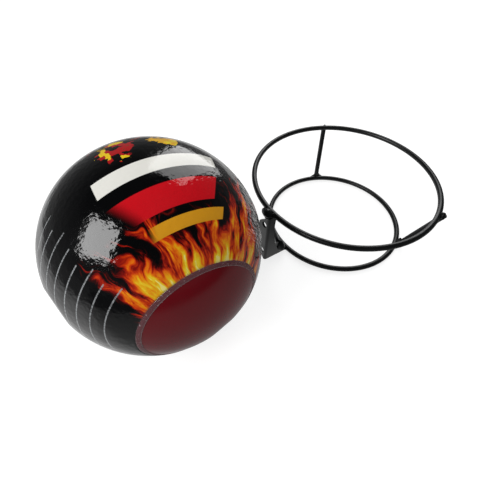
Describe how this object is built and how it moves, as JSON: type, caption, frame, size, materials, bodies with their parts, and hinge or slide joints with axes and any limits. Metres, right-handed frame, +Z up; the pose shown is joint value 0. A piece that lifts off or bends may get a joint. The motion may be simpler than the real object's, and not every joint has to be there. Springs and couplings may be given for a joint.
{
  "type": "fire extinguishing ball with wire wall holder",
  "caption": "Self-triggering dry powder fire extinguishing ball in a printed shrink film, beside its welded wire holder with a folded wall plate.",
  "frame": {"origin": "on the floor, below the middle of the pair's bounding box", "axes": "+Z up; +X from the ball to the holder; the ball's polar axis lies 1.8 degrees off Y, and the holder's wall plate faces -X"},
  "size_m": [0.2574, 0.1294, 0.11],
  "materials": {
    "film": "black printed shrink film, high gloss",
    "shell": "rigid foam, dark red, smooth",
    "powder": "fine dry powder",
    "charge_paper": "wound paper tube and pressed plugs",
    "charge": "granular",
    "fuse": "woven cord",
    "wire": "black powder coat, satin"
  },
  "bodies": {
    "root": {"print_film": "film", "shell_front": "shell", "shell_back": "shell", "powder_fill": "powder", "charge_tube": "charge_paper", "charge_plug_front": "charge_paper", "charge_plug_back": "charge_paper", "burst_charge": "charge", "fuse_ring": "fuse", "fuse_lead_upper": "fuse", "fuse_lead_lower": "fuse", "upper_ring": "wire", "lower_ring": "wire", "strut_wall": "wire", "strut_front": "wire", "strut_back": "wire", "wall_plate": "wire"}
  },
  "joints": []
}
